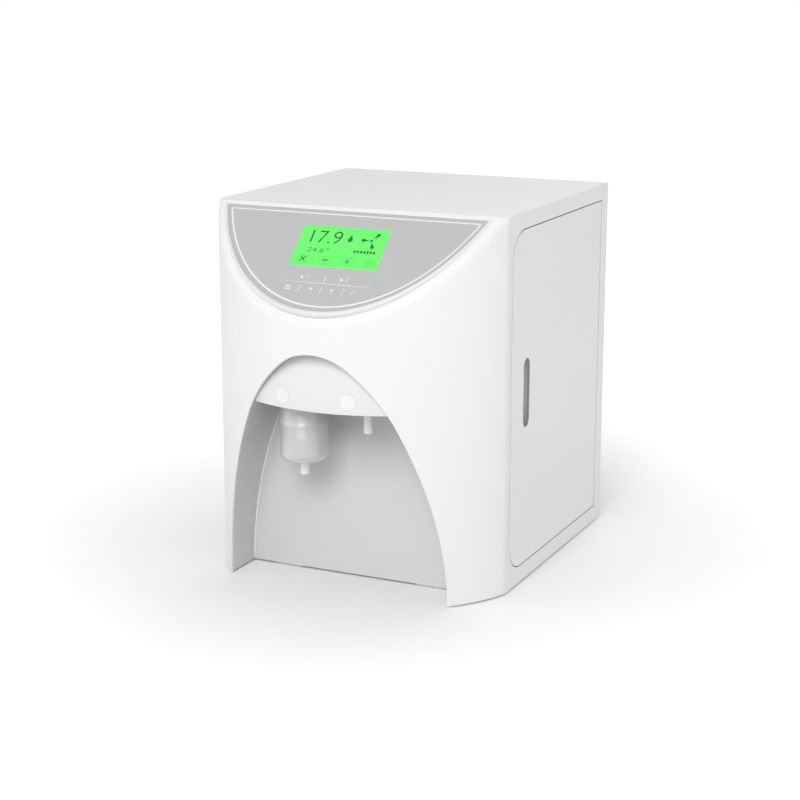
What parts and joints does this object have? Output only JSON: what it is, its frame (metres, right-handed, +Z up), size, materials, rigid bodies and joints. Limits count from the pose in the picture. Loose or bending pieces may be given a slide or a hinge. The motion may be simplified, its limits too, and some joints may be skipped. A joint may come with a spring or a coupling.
{
  "type": "ultrapure water system",
  "caption": "Bench-top ultrapure water system with bowed front, arched dispensing recess, sloping display console, side service door and internal cartridges.",
  "frame": {"origin": "on the bench under the centre of the overall bounding box", "axes": "+X to the user's right as they face the front, +Y from the front to the back, +Z up"},
  "size_m": [0.36, 0.446, 0.43],
  "materials": {
    "cabinet_white": "fine textured powder coat",
    "front_white": "moulded, satin",
    "recess_white": "moulded, satin",
    "bezel_white": "moulded, satin",
    "overlay_grey": "printed film, satin",
    "key_grey": "printed film over a cap, satin",
    "display_green": "lit window",
    "disc_white": "bare label disc",
    "clear_capsule": "translucent polypropylene",
    "filter_core": "pleated membrane",
    "fitting_white": "moulded acetal",
    "tube_white": "extruded polyethylene",
    "cartridge_white": "moulded polypropylene",
    "sheet_steel": "zinc plated sheet",
    "pin_steel": "ground",
    "magnet_black": "moulded magnet case",
    "foot_rubber": "pale grey, matt",
    "black_plastic": "moulded, fine texture",
    "pump_black": "glass filled moulding",
    "motor_steel": "satin black paint",
    "board_green": "solder resist",
    "supply_metal": "folded sheet"
  },
  "bodies": {
    "cabinet": {"front_shell": "front_white", "recess_liner": "recess_white", "recess_back_panel": "recess_white", "dispense_hood": "front_white", "outlet_bracket": "sheet_steel", "outlet_discs": "disc_white", "final_filter_housing": "clear_capsule", "final_filter_core": "filter_core", "ro_nozzle": "fitting_white", "console_bezel": "bezel_white", "overlay_film": "overlay_grey", "display_window": "display_green", "display_module": "black_plastic", "key_board": "board_green", "tact_switches": "black_plastic", "cabinet_cover": "cabinet_white", "door_hinge_brackets": "sheet_steel", "door_hinge_pins": "pin_steel", "door_magnets": "magnet_black", "base_plate": "sheet_steel", "rubber_feet": "foot_rubber", "rear_panel": "cabinet_white", "bulkhead_ports": "fitting_white", "power_inlet": "black_plastic", "rocker_frame": "black_plastic", "divider_plate": "sheet_steel", "polishing_cartridge": "cartridge_white", "sediment_cartridge": "cartridge_white", "carbon_cartridge": "cartridge_white", "cartridge_saddles": "black_plastic", "membrane_housing": "cartridge_white", "membrane_saddles": "black_plastic", "conductivity_cell": "fitting_white", "pump_head": "pump_black", "pump_motor": "motor_steel", "pump_cradle": "foot_rubber", "inlet_valve": "black_plastic", "tube_elbows": "fitting_white", "water_tubes": "tube_white", "power_supply": "supply_metal", "control_board": "board_green"},
    "door": {"side_door": "cabinet_white", "door_handle_cup": "cabinet_white", "door_strike_plates": "sheet_steel"},
    "fuse_drawer": {"fuse_drawer": "black_plastic"},
    "power_rocker": {"power_rocker": "black_plastic"},
    "upper_key_1": {"upper_key_1": "key_grey"},
    "upper_key_2": {"upper_key_2": "key_grey"},
    "lower_key_1": {"lower_key_1": "key_grey"},
    "lower_key_2": {"lower_key_2": "key_grey"},
    "lower_key_3": {"lower_key_3": "key_grey"},
    "lower_key_4": {"lower_key_4": "key_grey"}
  },
  "joints": [
    {"name": "door_hinge", "type": "hinge", "parent": "cabinet", "child": "door", "pos_m": [0.1752, 0.1855, 0.216], "axis": [0, 0, 1], "range_deg": [0, 95]},
    {"name": "upper_key_1_press", "type": "slide", "parent": "cabinet", "child": "upper_key_1", "axis": [0, 0.6884, -0.7254], "range_m": [0, 0.0004], "stiffness_N_per_m": 2000, "springref_m": -0.0003},
    {"name": "upper_key_2_press", "type": "slide", "parent": "cabinet", "child": "upper_key_2", "axis": [0, 0.6884, -0.7254], "range_m": [0, 0.0004], "stiffness_N_per_m": 2000, "springref_m": -0.0003},
    {"name": "lower_key_1_press", "type": "slide", "parent": "cabinet", "child": "lower_key_1", "axis": [0, 0.6884, -0.7254], "range_m": [0, 0.0004], "stiffness_N_per_m": 2000, "springref_m": -0.0003},
    {"name": "lower_key_2_press", "type": "slide", "parent": "cabinet", "child": "lower_key_2", "axis": [0, 0.6884, -0.7254], "range_m": [0, 0.0004], "stiffness_N_per_m": 2000, "springref_m": -0.0003},
    {"name": "lower_key_3_press", "type": "slide", "parent": "cabinet", "child": "lower_key_3", "axis": [0, 0.6884, -0.7254], "range_m": [0, 0.0004], "stiffness_N_per_m": 2000, "springref_m": -0.0003},
    {"name": "lower_key_4_press", "type": "slide", "parent": "cabinet", "child": "lower_key_4", "axis": [0, 0.6884, -0.7254], "range_m": [0, 0.0004], "stiffness_N_per_m": 2000, "springref_m": -0.0003},
    {"name": "fuse_drawer_slide", "type": "slide", "parent": "cabinet", "child": "fuse_drawer", "axis": [0, 1, 0], "range_m": [0, 0.012]},
    {"name": "power_rocker_tilt", "type": "hinge", "parent": "cabinet", "child": "power_rocker", "pos_m": [-0.11, 0.2165, 0.118], "axis": [-1, 0, 0], "range_deg": [0, 16]}
  ]
}
